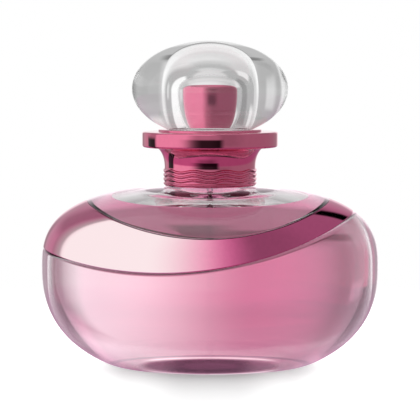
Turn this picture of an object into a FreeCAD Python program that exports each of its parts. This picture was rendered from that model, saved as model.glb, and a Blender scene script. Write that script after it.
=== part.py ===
"""Perfume bottle with an oval glass body, a metal shoulder band, a crimped fine-mist pump,
a flanged collar and a clear pull-off cap.

Frame: millimetres, +Z up, origin at the centre of the base plane, front of the bottle towards -Y.
Every separate physical piece is one STEP file in parts/. Round pieces share the Z axis.
"""

import FreeCAD
import Part
import math
import os

OUT = "parts"
UP = FreeCAD.Vector(0, 0, 1)
BACK = FreeCAD.Vector(0, 1, 0)
RIGHT = FreeCAD.Vector(1, 0, 0)
ORIGIN = FreeCAD.Vector(0, 0, 0)
QUARTER_MIDDLE = 1 - math.sqrt(0.5)
OVERCUT = 1.0

# ---- driving dimensions -------------------------------------------------------------------
# Glass body: half width, half depth, and the power curve above and below the widest level.
BODY_HALF_WIDTH = 45.0
BODY_HALF_DEPTH = 30.0
EQUATOR_Z = 27.0
LOWER_RISE = 30.2
LOWER_POWER = 2.4
UPPER_RISE = 21.8
UPPER_POWER = 2.75
HEEL_Z = 1.6
SHOULDER_TOP_R = 6.0
PUSH_UP_R = 16.5
PUSH_UP_DEPTH = 0.9
BASE_TRIM = 1.0
TRIM_BLOCK = 100.0

# Cavity: thick walls at the two ends, thinner at front and back.
CAVITY_HALF_WIDTH = 37.6
CAVITY_HALF_DEPTH = 22.4
CAVITY_FLOOR_Z = 5.2
CAVITY_LOWER_POWER = 3.4
CAVITY_TOP_Z = 43.6
CAVITY_UPPER_POWER = 2.5
CAVITY_FLAT_R = 9.0
THROAT_R = 12.0
THROAT_BOTTOM_Z = 41.2
THROAT_FLARE_Z = 43.0
THROAT_TOP_Z = 49.0
FILL_LEVEL_Z = 40.1
FILL_CLEARANCE = 0.03

# Standard 15 mm crimp neck.
NECK_R = 6.6
NECK_BORE_R = 4.65
NECK_BEAD_R = 7.5
NECK_BEAD_HEIGHT = 3.4
NECK_BEAD_EDGE = 0.5
NECK_ROOT_Z = 37.0
NECK_TOP_Z = 57.3

# Shoulder band: the space between two circular arcs in the front view, cut right through.
BAND_UPPER_ARC = (-0.75, 105.0, 68.2)
BAND_LOWER_ARC = (-14.6, 135.1, 107.1)
BAND_THICKNESS = 1.2
BAND_BACK_GAP = 0.05
BAND_EDGE_GAP = 0.06

# Collar: narrow barrel, flare, thick flange and a low seat ring for the cap.
COLLAR_BOTTOM_Z = 48.7
COLLAR_R = 12.15
COLLAR_FLARE_Z = 53.6
COLLAR_FLARE_R = 15.0
FLARE_MIDDLE = (0.26, 0.62)
FLANGE_R = 18.1
FLANGE_BOTTOM_Z = 59.0
FLANGE_TOP_Z = 63.1
FLANGE_EDGE = 0.6
SEAT_RING_R = 13.8
SEAT_RING_TOP_Z = 63.7
SEAT_RING_EDGE = 0.25
COLLAR_OPENING_R = 10.9
RIDGES = 4
RIDGE_FIRST_Z = 49.4
RIDGE_PITCH = 1.15
RIDGE_HALF_HEIGHT = 0.4
RIDGE_PROUD = 0.22

SLEEVE_BOTTOM_Z = 49.2
SLEEVE_TOP_Z = 58.4
SLEEVE_WALL = 0.75
SLEEVE_FIT = 0.02
SLEEVE_RIBS = 12
SLEEVE_RIB_WIDTH = 0.8
SLEEVE_RIB_INSET = 0.4

# Crimp ferrule and pump.
FERRULE_R = 8.0
FERRULE_WALL = 0.4
FERRULE_TOP_Z = 59.4
FERRULE_HOLE_GAP = 0.35
CRIMP_GAP = 0.1
CRIMP_HEIGHT = 1.1
GASKET_HEIGHT = 0.9
GASKET_INSET = 0.1
BOSS_R = 5.0
BOSS_TOP_Z = 61.2
HOUSING_R = 3.9
HOUSING_FLANGE_R = 6.6
CHAMBER_R = 2.9
CHAMBER_BOTTOM_Z = 42.6
CHAMBER_FLOOR = 0.8
BALL_ROOM_R = 1.15
BALL_SEAT_R = 0.6
BALL_SEAT_SHARE = 0.62
BALL_SEAT_SLOPE = 1.2
TURRET_R = 3.26
TURRET_SEAT_R = 3.3
TURRET_SEAT_Z = 57.0
TAIL_R = 1.9
TAIL_TOP_Z = 39.4
TAIL_BOTTOM_Z = 35.6
BALL_R = 1.0
BALL_Z = 41.25
DIP_TUBE_R = 1.0
DIP_TUBE_WALL = 0.35
DIP_TUBE_BOTTOM_Z = 6.6
DIP_TUBE_SLANT = 35
STEM_R = 1.75
STEM_BORE_R = 0.6
STEM_PORT_R = 0.3
STEM_TOP_Z = 68.5
STEM_SHOULDER_R = 2.3
STEM_SHOULDER_Z = 55.4
STEM_ROD_R = 1.1
STEM_FOOT_R = 1.75
STEM_FOOT_Z = 48.6
PISTON_BOTTOM_Z = 49.5
PISTON_TOP_Z = 52.0
PISTON_FOOT_R = 2.1
PISTON_HEAD_R = 2.3
PISTON_WAIST = 0.45
PISTON_LIP = 0.2
RETURN_COIL_R = 1.65
RETURN_WIRE_R = 0.2
RETURN_TURNS = 4.5
PRELOAD_COIL_R = 1.6
PRELOAD_WIRE_R = 0.16
PRELOAD_TURNS = 3.5
SPRING_END_GAP = 0.04
WIPER_HEIGHT = 0.6
RUNNING_GAP = 0.04
SEAT_GAP = 0.05

# Actuator.
ACTUATOR_R = 7.3
ACTUATOR_WALL = 0.5
ACTUATOR_EDGE = 0.8
ACTUATOR_CROWN = 0.3
ACTUATOR_FIT = 0.03
ACTUATOR_BOTTOM_Z = 63.7
ACTUATOR_TOP_Z = 75.6
NOZZLE_Z = 71.8
NOZZLE_R = 2.0
NOZZLE_INSET = 0.1
NOZZLE_POCKET = 2.4
DISH_R = 1.2
DISH_FLOOR_R = 0.35
DISH_DEPTH = 0.5
ORIFICE_R = 0.15
SWIRL_R = 0.9
SWIRL_ROOF = 1.4
CORE_FLOOR = 0.3
CORE_SKIRT_WALL = 0.9
CORE_POST_R = 3.1
CORE_POST_Z = 65.6
CORE_RISER_R = 0.7
CORE_FEED_R = 0.6

# Cap: a solid ellipsoid cut flat where it meets the collar, with a stepped and domed cavity.
CAP_HALF_WIDTH = 20.8
CAP_HALF_HEIGHT = 12.9
CAP_CENTRE_Z = 74.5
CAP_BOTTOM_Z = 63.75
CAP_MOUTH_R = 10.7
CAP_MOUTH_TOP_Z = 65.6
CAP_CAVITY_R = 8.7
CAP_CAVITY_WALL_Z = 74.2
CAP_CAVITY_TOP_Z = 78.3
LINER_R = 10.65
LINER_PLUG_R = 10.82
LINER_WALL = 1.1
LINER_LEAD = 0.4
LINER_BOTTOM_Z = 59.6
LINER_TOP_Z = 65.4


# ---- general helpers ----------------------------------------------------------------------
def point(r, z):
    """A point of a lathe profile, in the XZ plane."""
    return FreeCAD.Vector(r, 0, z)


def polyline(points):
    """Straight edges through (r, z) points."""
    return [Part.makeLine(point(*a), point(*b)) for a, b in zip(points, points[1:])]


def arc(start, middle, end):
    """One circular edge through three (r, z) points."""
    return Part.Arc(point(*start), point(*middle), point(*end)).toShape()


def quarter_arc(start, end, corner):
    """Arc from start to end that rounds off a right-angled corner."""
    middle = [c + (a + b - 2 * c) * QUARTER_MIDDLE for a, b, c in zip(start, end, corner)]
    return arc(start, middle, end)


def dome_arc(r, z_edge, z_top):
    """Arc from (r, z_edge) to the axis at z_top, on a circle centred on the axis."""
    rise = z_top - z_edge
    radius = (r * r + rise * rise) / (2 * rise)
    half_angle = math.asin(r / radius) / 2
    middle = (radius * math.sin(half_angle), z_top - radius * (1 - math.cos(half_angle)))
    return arc((r, z_edge), middle, (0, z_top))


def spline(points):
    """One smooth edge through (r, z) points."""
    curve = Part.BSplineCurve()
    curve.interpolate([point(*p) for p in points])
    return curve.toShape()


def turn(edges):
    """Solid of revolution about Z from a chain of edges in the XZ plane, closed by a line."""
    wire = Part.Wire(Part.__sortEdges__(edges))
    if not wire.isClosed():
        ends = wire.OrderedVertexes
        closing = Part.makeLine(ends[-1].Point, ends[0].Point)
        wire = Part.Wire(Part.__sortEdges__(edges + [closing]))
    return Part.Face(wire).revolve(ORIGIN, UP, 360)


def ring(r_inner, r_outer, z_bottom, z_top):
    """Plain tube, or a disc when r_inner is 0."""
    foot = FreeCAD.Vector(0, 0, z_bottom)
    outer = Part.makeCylinder(r_outer, z_top - z_bottom, foot, UP)
    if r_inner == 0:
        return outer
    return outer.cut(Part.makeCylinder(r_inner, z_top - z_bottom, foot, UP))


def flatten(shape, ratio):
    """Scales a shape along Y, which turns round sections into ovals."""
    matrix = FreeCAD.Matrix()
    matrix.scale(1, ratio, 1)
    return shape.transformGeometry(matrix)


def block_above(z):
    """Large block whose underside is the level plane at z."""
    corner = FreeCAD.Vector(-TRIM_BLOCK / 2, -TRIM_BLOCK / 2, z)
    return Part.makeBox(TRIM_BLOCK, TRIM_BLOCK, TRIM_BLOCK, corner)


def power_points(half_width, rise, power, start, end, count):
    """(r, height) points of a power curve r^p + h^p = 1, from angle start to end in degrees."""
    points = []
    for i in range(count):
        angle = math.radians(start + (end - start) * i / (count - 1))
        r = half_width * max(math.cos(angle), 0.0) ** (2 / power)
        height = rise * max(math.sin(angle), 0.0) ** (2 / power)
        points.append((r, height))
    return points


def angle_at_height(height, rise, power):
    """Angle in degrees at which the power curve reaches a height."""
    return math.degrees(math.asin((height / rise) ** (power / 2)))


def angle_at_radius(radius, half_width, power):
    """Angle in degrees at which the power curve comes in to a radius."""
    return math.degrees(math.acos((radius / half_width) ** (power / 2)))


def power_slope(half_width, rise, power, height):
    """Angle in radians between the power curve at a height and the level plane."""
    across = (1 - (height / rise) ** power) ** (1 / power)
    fall = (half_width / rise) * ((height / rise) / across) ** (power - 1)
    return math.atan(1 / fall)


# ---- glass body ---------------------------------------------------------------------------
def body_envelope(inset):
    """Outer form of the body moved inwards by inset, without its neck: one oval solid."""
    half_width = BODY_HALF_WIDTH - inset
    lower_rise = LOWER_RISE - inset
    upper_rise = UPPER_RISE - inset
    heel_angle = angle_at_height(EQUATOR_Z - HEEL_Z, lower_rise, LOWER_POWER)
    lower = power_points(half_width, lower_rise, LOWER_POWER, heel_angle, 0, 14)
    lower = [(r, EQUATOR_Z - h) for r, h in lower]
    top_angle = angle_at_radius(SHOULDER_TOP_R, half_width, UPPER_POWER)
    upper = power_points(half_width, upper_rise, UPPER_POWER, 0, top_angle, 16)
    upper = [(r, EQUATOR_Z + h) for r, h in upper]
    heel = lower[0]
    slope = power_slope(half_width, lower_rise, LOWER_POWER, EQUATOR_Z - HEEL_Z)
    radius = HEEL_Z / (1 - math.cos(slope))
    base_r = heel[0] - radius * math.sin(slope)
    middle = (base_r + radius * math.sin(slope / 2), radius * (1 - math.cos(slope / 2)))
    top = upper[-1]
    edges = [arc((base_r, 0), middle, heel), spline(lower + upper[1:])]
    edges += polyline(
        [top, (0, top[1]), (0, -BASE_TRIM), (base_r, -BASE_TRIM), (base_r, 0)]
    )
    envelope = flatten(turn(edges), (BODY_HALF_DEPTH - inset) / half_width)
    return envelope.common(block_above(0))


def arc_points(arc_circle, offset):
    """Three (x, z) points of a front-view arc whose radius is grown by offset."""
    centre_x, centre_z, radius = arc_circle
    reach = BODY_HALF_WIDTH + 5 * OVERCUT
    points = []
    for x in (-reach, centre_x, reach):
        drop = math.sqrt((radius + offset) ** 2 - (x - centre_x) ** 2)
        points.append((x, centre_z - drop))
    return points


def band_slab(edge_gap):
    """Block between the band's two front-view arcs, widened by edge_gap at each arc."""
    low = arc_points(BAND_LOWER_ARC, edge_gap)
    high = arc_points(BAND_UPPER_ARC, -edge_gap)
    edges = [arc(*low), arc(*high)]
    edges.append(Part.makeLine(point(*low[0]), point(*high[0])))
    edges.append(Part.makeLine(point(*low[2]), point(*high[2])))
    face = Part.Face(Part.Wire(Part.__sortEdges__(edges)))
    depth = BODY_HALF_DEPTH + 10 * OVERCUT
    face.translate(FreeCAD.Vector(0, -depth, 0))
    return face.extrude(BACK * (2 * depth))


def cavity_solid(inset):
    """Inside of the bottle moved inwards by inset: an oval room opening into a round throat."""
    half_width = CAVITY_HALF_WIDTH - inset
    lower_rise = EQUATOR_Z - CAVITY_FLOOR_Z - inset
    upper_rise = CAVITY_TOP_Z - EQUATOR_Z - inset
    floor_angle = angle_at_radius(CAVITY_FLAT_R, half_width, CAVITY_LOWER_POWER)
    lower = power_points(half_width, lower_rise, CAVITY_LOWER_POWER, floor_angle, 0, 14)
    lower = [(r, EQUATOR_Z - h) for r, h in lower]
    roof_angle = angle_at_radius(CAVITY_FLAT_R, half_width, CAVITY_UPPER_POWER)
    upper = power_points(half_width, upper_rise, CAVITY_UPPER_POWER, 0, roof_angle, 14)
    upper = [(r, EQUATOR_Z + h) for r, h in upper]
    roof, floor = upper[-1], lower[0]
    edges = [spline(lower + upper[1:])]
    edges += polyline([roof, (0, roof[1]), (0, floor[1]), floor])
    room = flatten(turn(edges), (CAVITY_HALF_DEPTH - inset) / half_width)
    return room.fuse(throat_solid(inset))


def throat_solid(inset):
    """Round opening moved inwards by inset: a trumpet out of the cavity, then the neck's bore."""
    bore = NECK_BORE_R - inset
    mouth = THROAT_R - inset
    top = NECK_TOP_Z + OVERCUT
    flare = quarter_arc((mouth, THROAT_FLARE_Z), (bore, THROAT_TOP_Z), (bore, THROAT_FLARE_Z))
    edges = [flare]
    edges += polyline([(bore, THROAT_TOP_Z), (bore, top), (0, top), (0, THROAT_BOTTOM_Z)])
    edges += polyline([(0, THROAT_BOTTOM_Z), (mouth, THROAT_BOTTOM_Z), (mouth, THROAT_FLARE_Z)])
    return turn(edges)


def glass_neck():
    """Neck with the crimp bead, solid, reaching down into the shoulder."""
    bead_z = NECK_TOP_Z - NECK_BEAD_HEIGHT
    edge = NECK_BEAD_EDGE
    return turn(
        polyline(
            [
                (0, NECK_ROOT_Z),
                (NECK_R, NECK_ROOT_Z),
                (NECK_R, bead_z),
                (NECK_BEAD_R - edge, bead_z),
                (NECK_BEAD_R, bead_z + edge),
                (NECK_BEAD_R, NECK_TOP_Z - edge),
                (NECK_BEAD_R - edge, NECK_TOP_Z),
                (0, NECK_TOP_Z),
                (0, NECK_ROOT_Z),
            ]
        )
    )


def push_up():
    """Shallow oval dome hollowed into the base."""
    edges = [dome_arc(PUSH_UP_R, 0, PUSH_UP_DEPTH)]
    edges += polyline([(0, PUSH_UP_DEPTH), (0, -BASE_TRIM), (PUSH_UP_R, -BASE_TRIM), (PUSH_UP_R, 0)])
    return flatten(turn(edges), BODY_HALF_DEPTH / BODY_HALF_WIDTH)


def glass_bottle():
    """Blown glass: oval body with a recess for the band, crimp neck, cavity and push-up."""
    recess = band_slab(BAND_EDGE_GAP).cut(body_envelope(BAND_THICKNESS + BAND_BACK_GAP))
    body = body_envelope(0).cut(recess)
    return body.fuse(glass_neck()).cut(cavity_solid(0)).cut(push_up())


def shoulder_band():
    """Metal band that lies flush in the recess of the glass shoulder."""
    core = body_envelope(BAND_THICKNESS)
    return band_slab(0).common(body_envelope(0)).cut(core)


def fragrance_fill():
    """The liquid, up to the fill level and clear of the pump and dip tube."""
    liquid = cavity_solid(FILL_CLEARANCE).cut(block_above(FILL_LEVEL_Z))
    below_tube = DIP_TUBE_BOTTOM_Z - OVERCUT / 2
    tube_hole = ring(0, DIP_TUBE_R + FILL_CLEARANCE, below_tube, TAIL_TOP_Z)
    return liquid.cut(tube_hole).cut(housing_outside(FILL_CLEARANCE))


# ---- pump ---------------------------------------------------------------------------------
def housing_outside(grow):
    """Outer form of the pump housing below its flange, grown by a clearance."""
    flange_z = NECK_TOP_Z + GASKET_HEIGHT
    barrel_z = CHAMBER_BOTTOM_Z - CHAMBER_FLOOR
    return turn(
        polyline(
            [
                (0, flange_z),
                (HOUSING_R + grow, flange_z),
                (HOUSING_R + grow, barrel_z - grow),
                (TAIL_R + grow, TAIL_TOP_Z - grow),
                (TAIL_R + grow, TAIL_BOTTOM_Z - grow),
                (0, TAIL_BOTTOM_Z - grow),
            ]
        )
    )


def pump_housing():
    """Clear moulded barrel with the pump chamber, ball seat and dip tube socket."""
    flange_z = NECK_TOP_Z + GASKET_HEIGHT
    plate_z = FERRULE_TOP_Z - FERRULE_WALL
    outside = housing_outside(0).fuse(ring(0, HOUSING_FLANGE_R, flange_z, plate_z))
    seat_z = BALL_Z - BALL_R * BALL_SEAT_SHARE
    throat_z = seat_z - (BALL_ROOM_R - BALL_SEAT_R) * BALL_SEAT_SLOPE
    bore = turn(
        polyline(
            [
                (0, plate_z + OVERCUT),
                (TURRET_SEAT_R, plate_z + OVERCUT),
                (TURRET_SEAT_R, TURRET_SEAT_Z),
                (CHAMBER_R, TURRET_SEAT_Z),
                (CHAMBER_R, CHAMBER_BOTTOM_Z),
                (BALL_ROOM_R, CHAMBER_BOTTOM_Z),
                (BALL_ROOM_R, seat_z),
                (BALL_SEAT_R, throat_z),
                (BALL_SEAT_R, TAIL_TOP_Z),
                (DIP_TUBE_R, TAIL_TOP_Z),
                (DIP_TUBE_R, TAIL_BOTTOM_Z - OVERCUT),
                (0, TAIL_BOTTOM_Z - OVERCUT),
            ]
        )
    )
    return outside.cut(bore)


def dip_tube():
    """Straight tube from the housing's tail to just above the cavity floor, cut on the slant."""
    tube = ring(DIP_TUBE_R - DIP_TUBE_WALL, DIP_TUBE_R, DIP_TUBE_BOTTOM_Z, TAIL_TOP_Z)
    side = 8 * DIP_TUBE_R
    below = Part.makeBox(side, side, side, FreeCAD.Vector(-side / 2, -side / 2, -side))
    below.rotate(ORIGIN, BACK, DIP_TUBE_SLANT)
    slant_rise = DIP_TUBE_R * math.tan(math.radians(DIP_TUBE_SLANT))
    below.translate(FreeCAD.Vector(0, 0, DIP_TUBE_BOTTOM_Z + slant_rise))
    return tube.cut(below)


def check_ball():
    """Steel inlet ball resting on its conical seat."""
    return Part.makeSphere(BALL_R, FreeCAD.Vector(0, 0, BALL_Z))


def coil(mean_r, wire_r, z_bottom, z_top, turns):
    """Open compression spring between two heights, with a small gap at each end."""
    low = z_bottom + wire_r + SPRING_END_GAP
    height = z_top - wire_r - SPRING_END_GAP - low
    helix = Part.makeHelix(height / turns, height, mean_r)
    section = Part.Wire(Part.Circle(FreeCAD.Vector(mean_r, 0, 0), BACK, wire_r).toShape())
    spring = Part.Wire(helix).makePipeShell([section], True, True)
    spring.translate(FreeCAD.Vector(0, 0, low))
    return spring


def return_spring():
    """Pushes the stem back up from the chamber floor."""
    return coil(RETURN_COIL_R, RETURN_WIRE_R, CHAMBER_BOTTOM_Z, STEM_FOOT_Z, RETURN_TURNS)


def preload_spring():
    """Holds the piston down on the stem's foot until the liquid's pressure opens it."""
    return coil(PRELOAD_COIL_R, PRELOAD_WIRE_R, PISTON_TOP_Z, STEM_SHOULDER_Z, PRELOAD_TURNS)


def pump_stem():
    """Hollow stem: outlet tube, stop shoulder, piston rod with a cross port, and foot."""
    shoulder_top = TURRET_SEAT_Z - SEAT_GAP
    foot_top = PISTON_BOTTOM_Z - RUNNING_GAP
    stem = turn(
        polyline(
            [
                (0, STEM_TOP_Z),
                (STEM_R, STEM_TOP_Z),
                (STEM_R, shoulder_top),
                (STEM_SHOULDER_R, shoulder_top),
                (STEM_SHOULDER_R, STEM_SHOULDER_Z),
                (STEM_ROD_R, STEM_SHOULDER_Z),
                (STEM_ROD_R, foot_top),
                (STEM_FOOT_R, foot_top),
                (STEM_FOOT_R, STEM_FOOT_Z),
                (0, STEM_FOOT_Z),
            ]
        )
    )
    port_z = PISTON_BOTTOM_Z + 3 * STEM_PORT_R
    channel = ring(0, STEM_BORE_R, port_z - STEM_PORT_R, STEM_TOP_Z + OVERCUT)
    reach = STEM_ROD_R + OVERCUT
    port = Part.makeCylinder(STEM_PORT_R, 2 * reach, FreeCAD.Vector(-reach, 0, port_z), RIGHT)
    return stem.cut(channel).cut(port)


def pump_piston():
    """Soft piston that slides on the stem's rod, with a sealing lip at each end."""
    inner = STEM_ROD_R + RUNNING_GAP
    lip_r = CHAMBER_R - RUNNING_GAP / 2
    waist_r = CHAMBER_R - PISTON_WAIST
    return turn(
        polyline(
            [
                (inner, PISTON_BOTTOM_Z),
                (PISTON_FOOT_R, PISTON_BOTTOM_Z),
                (lip_r, PISTON_BOTTOM_Z - PISTON_LIP),
                (lip_r, PISTON_BOTTOM_Z + 2 * PISTON_LIP),
                (waist_r, PISTON_BOTTOM_Z + 4 * PISTON_LIP),
                (waist_r, PISTON_TOP_Z - 4 * PISTON_LIP),
                (lip_r, PISTON_TOP_Z - 2 * PISTON_LIP),
                (lip_r, PISTON_TOP_Z + PISTON_LIP),
                (PISTON_HEAD_R, PISTON_TOP_Z),
                (inner, PISTON_TOP_Z),
                (inner, PISTON_BOTTOM_Z),
            ]
        )
    )


def stem_gasket():
    """Rubber wiper ring round the stem, under the turret."""
    return ring(STEM_R + RUNNING_GAP, TURRET_R, TURRET_SEAT_Z, TURRET_SEAT_Z + WIPER_HEIGHT)


def pump_turret():
    """Closure that guides the stem and is held down by the ferrule's boss."""
    guide_r = STEM_R + RUNNING_GAP
    plate_z = FERRULE_TOP_Z - FERRULE_WALL
    skirt_z = TURRET_SEAT_Z + WIPER_HEIGHT + RUNNING_GAP / 2
    skirt = ring(guide_r, TURRET_R, skirt_z, plate_z + 2 * SEAT_GAP)
    top_r = BOSS_R - FERRULE_WALL - SEAT_GAP
    top = ring(guide_r, top_r, plate_z + SEAT_GAP, BOSS_TOP_Z - FERRULE_WALL - SEAT_GAP)
    return skirt.fuse(top)


def neck_gasket():
    """Flat seal between the glass neck and the pump's flange."""
    inner = NECK_BORE_R + GASKET_INSET
    outer = NECK_BEAD_R - GASKET_INSET
    return ring(inner, outer, NECK_TOP_Z, NECK_TOP_Z + GASKET_HEIGHT)


def crimp_ferrule():
    """Aluminium cup crimped under the neck's bead, with a boss round the stem."""
    bead_z = NECK_TOP_Z - NECK_BEAD_HEIGHT
    hole_r = STEM_R + FERRULE_HOLE_GAP
    inner_r = FERRULE_R - FERRULE_WALL
    plate_z = FERRULE_TOP_Z - FERRULE_WALL
    boss_inner_r = BOSS_R - FERRULE_WALL
    crimp_r = NECK_R + CRIMP_GAP
    tuck_z = bead_z - CRIMP_HEIGHT / 2
    lip_z = bead_z - CRIMP_HEIGHT
    return turn(
        polyline(
            [
                (hole_r, BOSS_TOP_Z),
                (BOSS_R, BOSS_TOP_Z),
                (BOSS_R, FERRULE_TOP_Z),
                (FERRULE_R, FERRULE_TOP_Z),
                (FERRULE_R, bead_z - CRIMP_HEIGHT / 5),
                (crimp_r + FERRULE_WALL, lip_z),
                (crimp_r, lip_z + CRIMP_HEIGHT / 5),
                (crimp_r, tuck_z),
                (inner_r, bead_z - RUNNING_GAP),
                (inner_r, plate_z),
                (boss_inner_r, plate_z),
                (boss_inner_r, BOSS_TOP_Z - FERRULE_WALL),
                (hole_r, BOSS_TOP_Z - FERRULE_WALL),
                (hole_r, BOSS_TOP_Z),
            ]
        )
    )


# ---- collar -------------------------------------------------------------------------------
def barrel_ridges():
    """Profile edges of the barrel's outside: a plain run broken by half-round ridges."""
    edges = []
    z = COLLAR_BOTTOM_Z
    for index in range(RIDGES):
        middle = RIDGE_FIRST_Z + RIDGE_PITCH * index
        low, high = middle - RIDGE_HALF_HEIGHT, middle + RIDGE_HALF_HEIGHT
        edges += polyline([(COLLAR_R, z), (COLLAR_R, low)])
        edges.append(arc((COLLAR_R, low), (COLLAR_R + RIDGE_PROUD, middle), (COLLAR_R, high)))
        z = high
    return edges + polyline([(COLLAR_R, z), (COLLAR_R, COLLAR_FLARE_Z)])


def collar_flange():
    """Profile edges of the flare and the flange, up to the flange's top."""
    edge = FLANGE_EDGE
    low, high, rim = FLANGE_BOTTOM_Z, FLANGE_TOP_Z, FLANGE_R
    middle_r = COLLAR_R + (COLLAR_FLARE_R - COLLAR_R) * FLARE_MIDDLE[0]
    middle_z = COLLAR_FLARE_Z + (low - COLLAR_FLARE_Z) * FLARE_MIDDLE[1]
    edges = [arc((COLLAR_R, COLLAR_FLARE_Z), (middle_r, middle_z), (COLLAR_FLARE_R, low))]
    edges += polyline([(COLLAR_FLARE_R, low), (rim - edge, low)])
    edges.append(quarter_arc((rim - edge, low), (rim, low + edge), (rim, low)))
    edges += polyline([(rim, low + edge), (rim, high - edge)])
    edges.append(quarter_arc((rim, high - edge), (rim - edge, high), (rim, high)))
    return edges + polyline([(rim - edge, high), (SEAT_RING_R, high)])


def collar_shell():
    """Metal collar: barrel with ridges, flare, flange and the cap's seat ring."""
    edge = SEAT_RING_EDGE
    edges = barrel_ridges() + collar_flange()
    edges += polyline(
        [
            (SEAT_RING_R, FLANGE_TOP_Z),
            (SEAT_RING_R, SEAT_RING_TOP_Z - edge),
            (SEAT_RING_R - edge, SEAT_RING_TOP_Z),
            (COLLAR_OPENING_R + edge, SEAT_RING_TOP_Z),
            (COLLAR_OPENING_R, SEAT_RING_TOP_Z - edge),
            (COLLAR_OPENING_R, COLLAR_BOTTOM_Z),
            (COLLAR_R, COLLAR_BOTTOM_Z),
        ]
    )
    return turn(edges)


def collar_sleeve():
    """Plastic sleeve inside the collar whose ribs grip the ferrule."""
    outer = COLLAR_OPENING_R - SLEEVE_FIT
    inner = outer - SLEEVE_WALL
    sleeve = ring(inner, outer, SLEEVE_BOTTOM_Z, SLEEVE_TOP_Z)
    rib_inner = FERRULE_R + SLEEVE_FIT
    rib_low = SLEEVE_BOTTOM_Z + SLEEVE_RIB_INSET
    rib_length = inner + SLEEVE_WALL / 2 - rib_inner
    rib_height = SLEEVE_TOP_Z - SLEEVE_RIB_INSET - rib_low
    for index in range(SLEEVE_RIBS):
        corner = FreeCAD.Vector(rib_inner, -SLEEVE_RIB_WIDTH / 2, rib_low)
        rib = Part.makeBox(rib_length, SLEEVE_RIB_WIDTH, rib_height, corner)
        rib.rotate(ORIGIN, UP, 360 * index / SLEEVE_RIBS)
        sleeve = sleeve.fuse(rib)
    return sleeve.removeSplitter()


# ---- actuator -----------------------------------------------------------------------------
def spray_cylinder(radius, inner, outer):
    """Cylinder along the spray axis between two distances from the bottle's axis."""
    return Part.makeCylinder(radius, outer - inner, FreeCAD.Vector(0, inner, NOZZLE_Z), BACK)


def actuator_shell():
    """Metal button: thin drawn cup with a softly domed top and a nozzle hole at the back."""
    outer, edge = ACTUATOR_R, ACTUATOR_EDGE
    inner = outer - ACTUATOR_WALL
    rim_z = ACTUATOR_TOP_Z - ACTUATOR_CROWN
    ceiling_z = rim_z - ACTUATOR_WALL
    edges = polyline([(outer, ACTUATOR_BOTTOM_Z), (outer, rim_z - edge)])
    edges.append(quarter_arc((outer, rim_z - edge), (outer - edge, rim_z), (outer, rim_z)))
    edges.append(dome_arc(outer - edge, rim_z, ACTUATOR_TOP_Z))
    edges += polyline([(0, ACTUATOR_TOP_Z), (0, ceiling_z), (inner, ceiling_z)])
    edges += polyline([(inner, ceiling_z), (inner, ACTUATOR_BOTTOM_Z), (outer, ACTUATOR_BOTTOM_Z)])
    hole = spray_cylinder(NOZZLE_R + ACTUATOR_FIT, inner - OVERCUT, outer + OVERCUT)
    return turn(edges).cut(hole)


def actuator_core():
    """Plastic core: stem socket, outlet channel and nozzle pocket, pressed into the shell."""
    outer = ACTUATOR_R - ACTUATOR_WALL - ACTUATOR_FIT
    deck_low = NOZZLE_Z - NOZZLE_R - CORE_FLOOR
    deck_high = ACTUATOR_TOP_Z - ACTUATOR_CROWN - ACTUATOR_WALL - SEAT_GAP
    overlap = deck_low + 2 * SEAT_GAP
    deck = ring(0, outer, deck_low, deck_high)
    skirt = ring(outer - CORE_SKIRT_WALL, outer, ACTUATOR_BOTTOM_Z + SLEEVE_RIB_INSET, overlap)
    post = ring(0, CORE_POST_R, CORE_POST_Z, overlap)
    socket = ring(0, STEM_R + ACTUATOR_FIT, CORE_POST_Z - OVERCUT, STEM_TOP_Z + SEAT_GAP)
    riser = ring(0, CORE_RISER_R, STEM_TOP_Z, NOZZLE_Z + CORE_RISER_R)
    pocket = spray_cylinder(NOZZLE_R, outer - NOZZLE_POCKET, outer + OVERCUT)
    feed = spray_cylinder(CORE_FEED_R, 0, outer - NOZZLE_POCKET + OVERCUT / 2)
    core = deck.fuse(skirt).fuse(post)
    return core.cut(socket).cut(riser).cut(pocket).cut(feed).removeSplitter()


def nozzle_insert():
    """Spray insert with a dished face, a fine orifice and a swirl chamber behind it."""
    face = ACTUATOR_R - NOZZLE_INSET
    root = ACTUATOR_R - ACTUATOR_WALL - NOZZLE_POCKET + SEAT_GAP
    insert = spray_cylinder(NOZZLE_R - SLEEVE_FIT, root, face)
    rim = FreeCAD.Vector(0, face, NOZZLE_Z)
    dish = Part.makeCone(DISH_R, DISH_FLOOR_R, DISH_DEPTH, rim, -BACK)
    orifice = spray_cylinder(ORIFICE_R, root, face)
    swirl = spray_cylinder(SWIRL_R, root, face - SWIRL_ROOF)
    return insert.cut(dish).cut(orifice).cut(swirl)


# ---- cap ----------------------------------------------------------------------------------
def cap_body():
    """Thick clear cap: ellipsoid outside, a mouth for the liner and a domed cavity inside."""
    drop = CAP_CENTRE_Z - CAP_BOTTOM_Z
    foot_angle = -angle_at_height(drop, CAP_HALF_HEIGHT, 2)
    outline = []
    for i in range(25):
        angle = math.radians(foot_angle + (90 - foot_angle) * i / 24)
        r = CAP_HALF_WIDTH * math.cos(angle)
        outline.append((max(r, 0), CAP_CENTRE_Z + CAP_HALF_HEIGHT * math.sin(angle)))
    roof_rise = CAP_CAVITY_TOP_Z - CAP_CAVITY_WALL_Z
    roof = power_points(CAP_CAVITY_R, roof_rise, 2, 0, 90, 11)
    roof = [(r, CAP_CAVITY_WALL_Z + height) for r, height in roof]
    edges = [spline(outline), spline(roof)]
    edges += polyline([outline[-1], roof[-1]])
    edges += polyline(
        [
            roof[0],
            (CAP_CAVITY_R, CAP_MOUTH_TOP_Z),
            (CAP_MOUTH_R, CAP_MOUTH_TOP_Z),
            (CAP_MOUTH_R, CAP_BOTTOM_Z),
            outline[0],
        ]
    )
    return turn(edges)


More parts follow.
